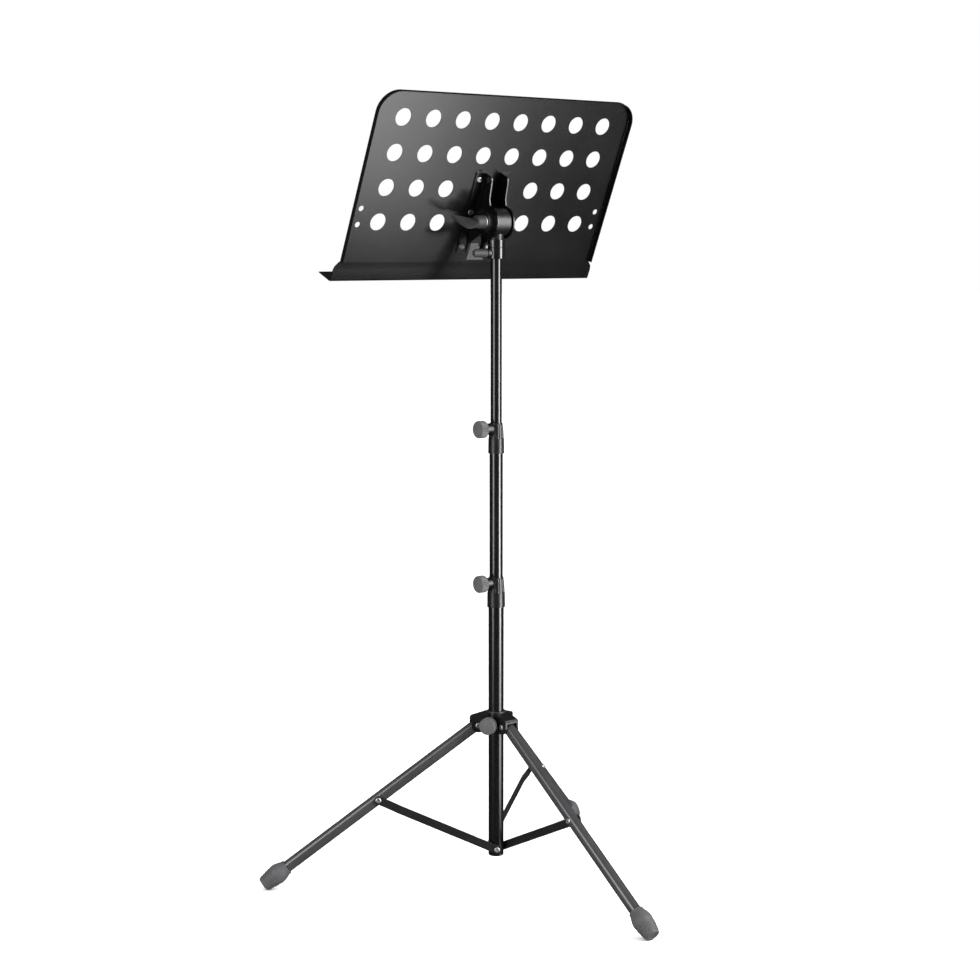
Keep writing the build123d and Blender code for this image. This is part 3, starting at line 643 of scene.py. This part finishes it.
def leg(side):
    fold = JOINTS[f"{side}_leg_fold"]
    origin, hinge_axis = Vector(fold["pos_m"]), Vector(fold["axis"])
    low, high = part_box(f"{side}_leg_tube")
    along = ((low + high) / 2 - origin).normalized()
    begin, end = reach(f"{side}_leg_tube", origin, along)
    across = reach(f"{side}_leg_tube", origin, hinge_axis)[1]
    tube(f"{side}_leg_tube", f"{side}_leg_shell", begin, end, across, LEG_WALL, seat(origin, along, Z))
    finished(softened_copy(f"{side}_leg_eye", f"{side}_leg_eye_moulding", 0.4 * MM), f"{side}_leg_eye")
    foot(side, origin, along)
    finished(softened_copy(f"{side}_brace", f"{side}_brace_bar", 0.35 * MM, 3), f"{side}_brace")
    brace_axis = -Vector(JOINTS[f"{side}_brace_fold"]["axis"])
    rivets(f"{side}_brace_rivet", f"{side}_brace_rivet_head", lambda centre: brace_axis, ("high",))
    rivets(f"{side}_leg_rivet", f"{side}_leg_rivet_tail", lambda centre: brace_axis, ("low",))


def base():
    finished(softened_copy("hub", "hub_moulding", 0.7 * MM, 3), "hub")
    finished(softened_copy("hub_bush", "hub_bush_moulding", 0.3 * MM, 2), "hub_bush")
    rivets("hub_pins", "hub_rivets", sideways, shank_r=3 * MM)
    axes = {side: -Vector(JOINTS[f"{side}_brace_fold"]["axis"]) for side in SIDES}

    def nearest(centre):
        return max(axes.values(), key=centre.normalized().dot)

    rivets("brace_pivots", "brace_pivot_rivets", nearest, ("high",))
    for side in SIDES:
        leg(side)


# ======================= tilting head =======================
def head():
    tilt = Vector(JOINTS["desk_tilt"]["pos_m"])
    across = seat(tilt, X, Z)
    drum = DRUM_R
    outline = [
        (0, -DRUM_HALF), (drum - 0.9 * MM, -DRUM_HALF), (drum, -DRUM_HALF + 0.9 * MM),
        (drum, DRUM_HALF - 0.9 * MM), (drum - 0.9 * MM, DRUM_HALF), (0, DRUM_HALF),
    ]
    body = settle(turned("tilt_drum_moulding", outline, 128), across)
    sleeve_low, sleeve_high = (corner.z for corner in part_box("socket_sleeve"))
    spigot_r, bore_r = 10 * MM, 8.05 * MM
    neck_outline = [
        (bore_r, sleeve_low + 0.5 * MM), (spigot_r, sleeve_low + 0.5 * MM), (spigot_r, sleeve_high),
        (NECK_R, sleeve_high), (NECK_R, tilt.z - drum / 2), (0, tilt.z - drum / 2),
        (0, sleeve_high - 1 * MM), (bore_r, sleeve_high - 1 * MM), (bore_r, sleeve_low + 0.5 * MM),
    ]
    combine(body, turned("neck", neck_outline), "UNION")
    finished(soften(body, 0.4 * MM, 3), "tilt_drum")

    radius, spread = box_radius("socket_sleeve"), 0.5 * MM
    low, high = sleeve_low, sleeve_high
    groove = low + SLEEVE_GROOVE
    outline = [
        (spigot_r, low), (radius - spread, low), (radius, low + spread),
        (radius, groove), (radius - 0.5 * MM, groove + 0.2 * MM), (radius - 0.5 * MM, groove + 1 * MM),
        (radius, groove + 1.2 * MM), (radius, high - spread), (radius - spread, high), (spigot_r, high),
        (spigot_r, low),
    ]
    finished(soften(turned("socket_sleeve_turning", outline), 0.15 * MM, 2), "socket_sleeve")

    begin, end = (corner.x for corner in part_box("dome_washer"))
    bore = BOLT_R + 0.05 * MM
    dome = [
        (BARREL_R - 1 * MM + (DOME_R - BARREL_R + 1 * MM) * cos(a * pi / 16),
         begin + 1.5 * MM + (end - begin - 1.5 * MM) * sin(a * pi / 16))
        for a in range(9)
    ]
    outline = [(bore, begin), (DOME_R, begin), *dome, (bore, end), (bore, begin)]
    piece = soften(turned("dome_washer_moulding", outline), 0)
    finished(settle(piece, across), "dome_washer")

    begin, end = (corner.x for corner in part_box("tilt_knob_ring"))
    radius = BARREL_R + 0.4 * MM
    outline = [(bore, begin), (radius, begin), (radius, end), (bore, end), (bore, begin)]
    piece = soften(turned("tilt_knob_ring_turning", outline), 0.25 * MM, 3)
    finished(settle(piece, across), "tilt_knob_ring")
    tilt_bolt()
    wing_knob(tilt)
    socket_grip()


def wing_knob(tilt):
    """A round barrel that runs out into a fan-shaped paddle, thinned for the thumb."""
    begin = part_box("tilt_wing_knob")[0].x
    barrel_end = begin + WING_BARREL
    nose = 3 * MM
    outline = [(BOLT_R + 0.05 * MM, begin), (BARREL_R, begin), (BARREL_R, barrel_end - nose)]
    outline += [
        (BARREL_R - nose + nose * cos(a * pi / 10), barrel_end - nose + nose * sin(a * pi / 10))
        for a in (1, 2, 3, 4, 5)
    ]
    outline += [(0, barrel_end), (0, barrel_end - 1.5 * MM), (BOLT_R + 0.05 * MM, barrel_end - 1.5 * MM),
                (BOLT_R + 0.05 * MM, begin)]
    piece = settle(turned("tilt_wing_knob_moulding", outline), seat((0, 0, 0), X, Y))

    # The paddle is pulled out along X in steps: where to, its width there and its thickness.
    at, wide, thick = 5, 17, 9
    start_at = (begin + (at - 1) * MM, 0, 0)
    paddle = start("paddle", "cube", size=1, location=start_at, scale=(2 * MM, wide * MM, thick * MM))
    pick(paddle, "FACE", lambda face: face.normal.x > 0.9)
    for out, next_wide, next_thick in PADDLE_STEPS:
        bpy.ops.mesh.extrude_region_move(TRANSFORM_OT_translate={"value": ((out - at) * MM, 0, 0)})
        scale = (1, next_wide / wide, next_thick / thick)
        bpy.ops.transform.resize(value=scale, center_override=(begin + out * MM, 0, 0))
        at, wide, thick = out, next_wide, next_thick
    tidy(paddle)
    modify(paddle, "SUBSURF", levels=3, render_levels=3)
    combine(piece, paddle, "UNION")
    soften(piece, 0)
    place = Matrix.Translation(tilt) @ Matrix.Rotation(WING_TURN, 4, X)
    finished(settle(piece, place), "tilt_wing_knob")


def socket_grip():
    """Fan-shaped thumb grip: narrow at the top, flared at the foot, ribbed across both faces."""
    turn = JOINTS["socket_grip_turn"]
    origin = Vector(turn["pos_m"])
    begin = reach("socket_grip", origin, X)[0]
    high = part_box("socket_grip")[1]
    centre_x = high.x - GRIP_FOOT / 2
    height = GRIP_UP + GRIP_DOWN
    piece = start("socket_grip_moulding", "cube", size=1, scale=(GRIP_FOOT, GRIP_THICK, height))
    pick(piece, "VERT", lambda vertex: vertex.co.z > 0)
    bpy.ops.transform.resize(value=(GRIP_TOP / GRIP_FOOT, 1, 1), center_override=(0, 0, height / 2))
    rib = height / (2 * GRIP_RIBS + 1)
    for line in range(1, 2 * GRIP_RIBS + 1):
        bpy.ops.mesh.select_all(action="SELECT")
        cut = -height / 2 + line * rib
        bpy.ops.mesh.bisect(plane_co=(0, 0, cut), plane_no=(0, 0, 1))

    def between_ribs(face):
        band = int((face.center.z + height / 2) / rib)
        return abs(face.normal.y) > 0.9 and band % 2 == 1

    pick(piece, "FACE", between_ribs)
    bpy.ops.mesh.inset(thickness=RIB_LAND, depth=-RIB_DEPTH, use_individual=True)
    tidy(piece)
    settle(piece, Matrix.Translation(origin + Vector((centre_x, 0, (GRIP_UP - GRIP_DOWN) / 2))))
    barrel_r = GRIP_BARREL_R
    outline = [(0, begin), (barrel_r, begin), (barrel_r, centre_x), (0.8 * barrel_r, centre_x + 2 * MM),
               (0, centre_x + 2 * MM)]
    barrel = settle(turned("barrel", outline, SMALL_ROUND), seat(origin, X, Z))
    combine(piece, barrel, "UNION")
    finished(soften(piece, 0.12 * MM, 2), "socket_grip")


# ======================= desk =======================
def desk_place():
    up, out = Vector(MOUNTS["ledge"]["axis"]), Vector(MOUNTS["desk_face"]["axis"])
    turn = Matrix((up.cross(out), up, out)).transposed()
    return Matrix.Translation(JOINTS["desk_tilt"]["pos_m"]) @ turn.to_4x4()


def desk_panel(place):
    """One folded sheet: the panel, its turned-back rim and the ledge, pierced by the hole grid."""
    panel_h = PANEL_TOP - RIM_END
    centre = (0, (PANEL_TOP + RIM_END) / 2, PANEL_FRONT)
    piece = start("desk_sheet_folded", "plane", size=1, location=centre)
    bpy.ops.transform.resize(value=(2 * PANEL_HALF, panel_h, 1), center_override=centre)
    edit(piece, False)
    piece.data.transform(piece.matrix_world)
    piece.matrix_world = Matrix()
    edit(piece)
    pick(piece, "VERT", lambda vertex: vertex.co.y > 0)
    bpy.ops.mesh.bevel(offset=CORNER, segments=16, affect="VERTICES", profile=0.5)

    def at_rim_end(edge):
        return all(abs(piece.data.vertices[i].co.y - RIM_END) < NEAR for i in edge.vertices)

    def at_front(edge):
        return all(piece.data.vertices[i].co.z > PANEL_FRONT - 0.1 * MM for i in edge.vertices)

    pick(piece, "EDGE", lambda edge: not at_rim_end(edge))
    bpy.ops.mesh.extrude_region_move(TRANSFORM_OT_translate={"value": (0, 0, -RIM_DEPTH)})

    pick(piece, "EDGE", lambda edge: at_rim_end(edge) and at_front(edge))
    wide = APRON_HALF - APRON_STEP
    for drop, half, last in ((FLARE_DROP, wide, PANEL_HALF), (STEP_DROP, APRON_HALF, wide)):
        bpy.ops.mesh.extrude_region_move(TRANSFORM_OT_translate={"value": (0, -drop, 0)})
        bpy.ops.transform.resize(value=(half / last, 1, 1), center_override=(0, 0, 0))
    rest = RIM_END - FLARE_DROP - STEP_DROP - LEDGE_TOP
    bpy.ops.mesh.extrude_region_move(TRANSFORM_OT_translate={"value": (0, -rest, 0)})
    bpy.ops.mesh.extrude_region_move(TRANSFORM_OT_translate={"value": (0, 0, LEDGE_DEPTH)})

    def bent(edge):
        a, b = (piece.data.vertices[i].co for i in edge.vertices)
        level = all(abs(p.z - PANEL_FRONT) < NEAR for p in (a, b))
        on_ledge = all(abs(p.y - LEDGE_TOP) < NEAR for p in (a, b))
        on_apron = any(p.y < RIM_END - NEAR for p in (a, b))
        return level and (on_ledge or not (on_apron or at_rim_end(edge)))

    pick(piece, "EDGE", bent)
    bpy.ops.mesh.bevel(offset=BEND, segments=4, affect="EDGES")
    bpy.ops.mesh.select_all(action="SELECT")
    bpy.ops.mesh.remove_doubles(threshold=NEAR)
    edit(piece, False)
    front = max(piece.data.polygons, key=lambda face: face.area)
    if front.normal.z < 0:
        edit(piece)
        bpy.ops.mesh.select_all(action="SELECT")
        bpy.ops.mesh.flip_normals()
        edit(piece, False)
    modify(piece, "SOLIDIFY", thickness=SHEET, offset=-1, use_even_offset=True)
    combine(piece, hole_cutter(), "DIFFERENCE")
    soften(piece, 0.22 * MM, 2, 40)
    finished(settle(piece, place), "desk_sheet")


def hole_cutter():
    """Every hole of the desk as one set of plugs."""
    depth = 6 * MM
    plug = start("plug", "cylinder", vertices=SMALL_ROUND, radius=1, depth=1)
    tidy(plug)
    spots = [
        ((column - 3.5) * HOLE_PITCH, TOP_ROW - row * HOLE_PITCH, HOLE_R)
        for row in range(4)
        for column in range(8)
        if row < 2 or column not in (3, 4)
    ]
    to_desk = desk_place().inverted()
    for name, mount in MOUNTS.items():
        if name.endswith("clip_hole"):
            spot = to_desk @ Vector(mount["pos_m"])
            spots.append((spot.x, spot.y, CLIP_HOLE_R))
    plugs = []
    for across, up, radius in spots:
        size = Matrix.Diagonal((radius, radius, depth, 1))
        place = Matrix.Translation((across, up, PANEL_FRONT))
        plugs.append(settle(copied(plug, "hole"), place @ size))
    bpy.data.objects.remove(plug)
    return join(*plugs)


def desk():
    place = desk_place()
    desk_panel(place)
    for side in ("left", "right"):
        plate = f"{side}_bracket"
        finished(softened_copy(plate, f"{plate}_pressing", 0.45 * MM, 3), plate)
    out = Vector(MOUNTS["desk_face"]["axis"])
    rivets("desk_rivets", "desk_rivet_set", lambda centre: out, ("low",))


# ======================= studio =======================
def soft_light(name, place, aim, size, power):
    light = bpy.data.lights.new(name, "AREA")
    light.shape, light.size, light.size_y, light.energy = "RECTANGLE", *size, power
    lamp = bpy.data.objects.new(name, light)
    lamp.location = place
    lamp.rotation_euler = (Vector(aim) - Vector(place)).to_track_quat("-Z", "Y").to_euler()
    lamp.visible_camera = False
    bpy.context.scene.collection.objects.link(lamp)


VIEW_AZIMUTH = radians(142)  # 0 looks along +Y; the camera stands behind the desk
VIEW_DISTANCE, VIEW_HEIGHT, VIEW_PITCH = 2.843, 0.909, radians(6.81)
VIEW_LENS, VIEW_OFFSET = 74.2, 0.0087


def around(turn, distance, height):
    """A place round the column: turn is from the camera's direction, positive to its right."""
    a = VIEW_AZIMUTH + turn
    return Vector((sin(a) * distance, -cos(a) * distance, height))


def camera():
    data = bpy.data.cameras.new("camera")
    data.lens, data.sensor_width = VIEW_LENS, 36
    eye = bpy.data.objects.new("camera", data)
    ahead = -around(0, 1, 0)
    right = ahead.cross(Z)
    eye.location = around(0, VIEW_DISTANCE, VIEW_HEIGHT) - right * VIEW_OFFSET
    look = ahead * cos(VIEW_PITCH) - Z * sin(VIEW_PITCH)
    eye.rotation_euler = look.to_track_quat("-Z", "Y").to_euler()
    bpy.context.scene.collection.objects.link(eye)
    bpy.context.scene.camera = eye


def studio():
    deselect()
    bpy.ops.mesh.primitive_plane_add(size=60)
    floor = bpy.context.object
    floor.name = "floor"
    floor.visible_glossy = False
    paint = Surface("floor_paint", roughness=0.9, specular_ior_level=0.0)
    paint.colour(paint.grain(0.5, 2), (0.93, 0.93, 0.93, 1), (0.95, 0.95, 0.95, 1))
    floor.data.materials.append(paint.material)
    world = bpy.data.worlds.new("studio")
    bpy.context.scene.world = world
    world.use_nodes = True
    tree = world.node_tree
    path = tree.nodes.new("ShaderNodeLightPath")
    white = tree.nodes["Background"]
    white.inputs["Color"].default_value = (1, 1, 1, 1)
    for ray, strength in (("Is Glossy Ray", 0.05), ("Is Diffuse Ray", 0.3)):
        dim, mix = tree.nodes.new("ShaderNodeBackground"), tree.nodes.new("ShaderNodeMixShader")
        dim.inputs["Strength"].default_value = strength
        dim.inputs["Color"].default_value = (1, 1, 1, 1)
        tree.links.new(path.outputs[ray], mix.inputs[0])
        tree.links.new(white.outputs[0], mix.inputs[1])
        tree.links.new(dim.outputs[0], mix.inputs[2])
        white = mix
    tree.links.new(white.outputs[0], tree.nodes["World Output"].inputs["Surface"])
    soft_light("right_strip", around(radians(66), 2.6, 1.1), (0, 0, 0.6), (0.9, 2.6), 150)
    soft_light("left_strip", around(radians(-47), 2.6, 1.1), (0, 0, 0.6), (1.1, 2.6), 60)
    soft_light("low_card", around(radians(65), 1.72, 0.05), (0, 0, 1), (0.9, 0.8), 15)
    overhead = bpy.data.lights.new("overhead", "SUN")
    overhead.energy, overhead.angle = 3.4, radians(120)
    lamp = bpy.data.objects.new("overhead", overhead)
    lamp.visible_glossy = False
    bpy.context.scene.collection.objects.link(lamp)
    bpy.context.scene.view_settings.view_transform = "Standard"


# ======================= assembly =======================
column()
collar("lower", "lower_tube", "middle_tube")
collar("upper", "middle_tube", "top_tube")
for clamp in ("lower", "upper", "hub"):
    knob(f"{clamp}_clamp_knob", JOINTS[f"{clamp}_clamp_knob_turn"], f"{clamp}_clamp_knob_moulding")
base()
head()
desk()
for part in frame["record"]["subparts"]:
    node = frame["nodes"][part["node"]]
    node.data.materials.clear()
    node.data.materials.append(FINISHES[part["material_slot"]])

camera()
studio()
